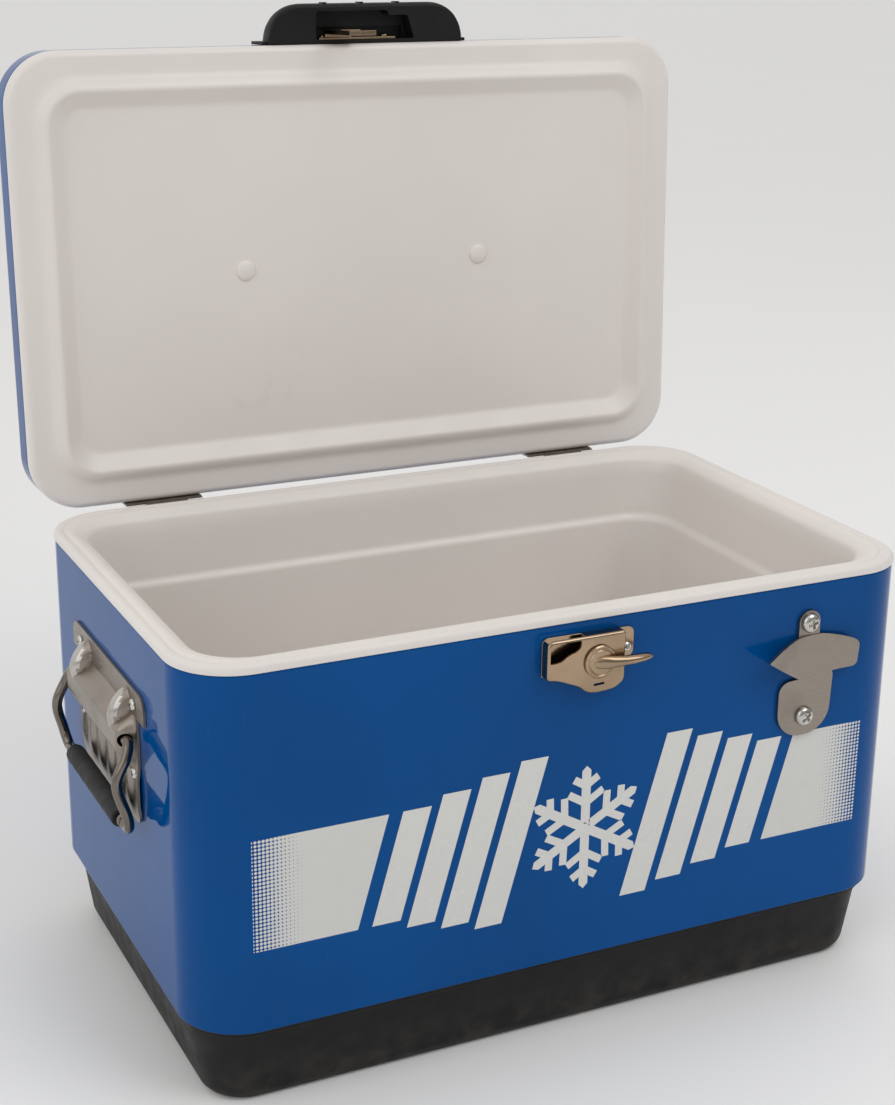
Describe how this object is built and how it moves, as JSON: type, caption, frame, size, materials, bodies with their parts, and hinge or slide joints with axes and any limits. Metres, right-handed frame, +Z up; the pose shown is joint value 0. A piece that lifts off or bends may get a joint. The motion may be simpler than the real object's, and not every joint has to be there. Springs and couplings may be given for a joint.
{
  "type": "picnic ice chest",
  "caption": "Steel-jacketed ice chest on a dark moulded base, with a hinged insulated lid, turn latch, wall bottle opener and swinging carry handles.",
  "frame": {"origin": "centre of the base's underside, on the floor", "axes": "+X to the right seen from the latch side, +Y from the latch side to the hinge side, +Z up"},
  "size_m": [0.6386, 0.4596, 0.7392],
  "materials": {
    "blue_paint": "gloss enamel over sheet steel, slight orange peel",
    "white_plastic": "warm white moulded plastic, satin",
    "black_plastic": "fine textured black moulded plastic",
    "insulation": "rigid foam, never seen",
    "nickel": "polished nickel plate",
    "stainless": "brushed stainless steel",
    "dark_steel": "dull plated steel",
    "black_rubber": "soft black rubber"
  },
  "bodies": {
    "chest": {"base_tray": "black_plastic", "body_foam": "insulation", "bottle_opener": "stainless", "drain_gasket": "black_rubber", "drain_spout": "black_plastic", "inner_liner": "white_plastic", "latch_back_plate": "nickel", "latch_housing": "nickel", "latch_screw_left": "nickel", "latch_screw_right": "nickel", "left_handle_plate": "stainless", "left_handle_screw_1": "stainless", "left_handle_screw_2": "stainless", "left_handle_screw_3": "stainless", "left_handle_screw_4": "stainless", "left_hinge_body_leaf": "dark_steel", "left_hinge_body_screw_left": "dark_steel", "left_hinge_body_screw_right": "dark_steel", "left_hinge_pin": "dark_steel", "opener_screw_bottom": "stainless", "opener_screw_top": "stainless", "outer_jacket": "blue_paint", "right_handle_plate": "stainless", "right_handle_screw_1": "stainless", "right_handle_screw_2": "stainless", "right_handle_screw_3": "stainless", "right_handle_screw_4": "stainless", "right_hinge_body_leaf": "dark_steel", "right_hinge_body_screw_left": "dark_steel", "right_hinge_body_screw_right": "dark_steel", "right_hinge_pin": "dark_steel"},
    "lid": {"left_hinge_lid_leaf": "dark_steel", "left_hinge_lid_screw_left": "dark_steel", "left_hinge_lid_screw_right": "dark_steel", "lid_fill_plug_left": "white_plastic", "lid_fill_plug_right": "white_plastic", "lid_foam": "insulation", "lid_handle": "black_plastic", "lid_handle_screw_left": "nickel", "lid_handle_screw_right": "nickel", "lid_liner": "white_plastic", "lid_shell": "blue_paint", "lid_strike": "nickel", "right_hinge_lid_leaf": "dark_steel", "right_hinge_lid_screw_left": "dark_steel", "right_hinge_lid_screw_right": "dark_steel"},
    "lever": {"latch_lever": "nickel", "latch_cam": "dark_steel"},
    "left_bail": {"left_bail": "stainless", "left_grip": "black_rubber"},
    "right_bail": {"right_bail": "stainless", "right_grip": "black_rubber"},
    "drain_washer": {"drain_washer": "black_rubber"},
    "drain_cap": {"drain_cap": "black_plastic"}
  },
  "joints": [
    {"name": "lid_hinge", "type": "hinge", "parent": "chest", "child": "lid", "pos_m": [0, 0.19, 0.3374], "axis": [-1, 0, 0], "range_deg": [-92.4, 0]},
    {"name": "latch_turn", "type": "hinge", "parent": "chest", "child": "lever", "pos_m": [0.008, -0.185, 0.3083], "axis": [0, -1, 0], "range_deg": [0, 90]},
    {"name": "left_bail_swing", "type": "hinge", "parent": "chest", "child": "left_bail", "pos_m": [-0.3046, 0, 0.2517], "axis": [0, 1, 0], "range_deg": [0, 95]},
    {"name": "right_bail_swing", "type": "hinge", "parent": "chest", "child": "right_bail", "pos_m": [0.3046, 0, 0.2517], "axis": [0, -1, 0], "range_deg": [0, 95]},
    {"name": "cap_travel", "type": "slide", "parent": "chest", "child": "drain_washer", "axis": [1, 0, 0], "range_m": [0, 0.006]},
    {"name": "cap_turn", "type": "hinge", "parent": "drain_washer", "child": "drain_cap", "pos_m": [0.3, 0, 0.047], "axis": [1, 0, 0], "range_deg": [0, 720]}
  ],
  "couplings": [
    {"joint": "cap_travel", "follows": "cap_turn", "m_per_rad": 0.00047746}
  ]
}
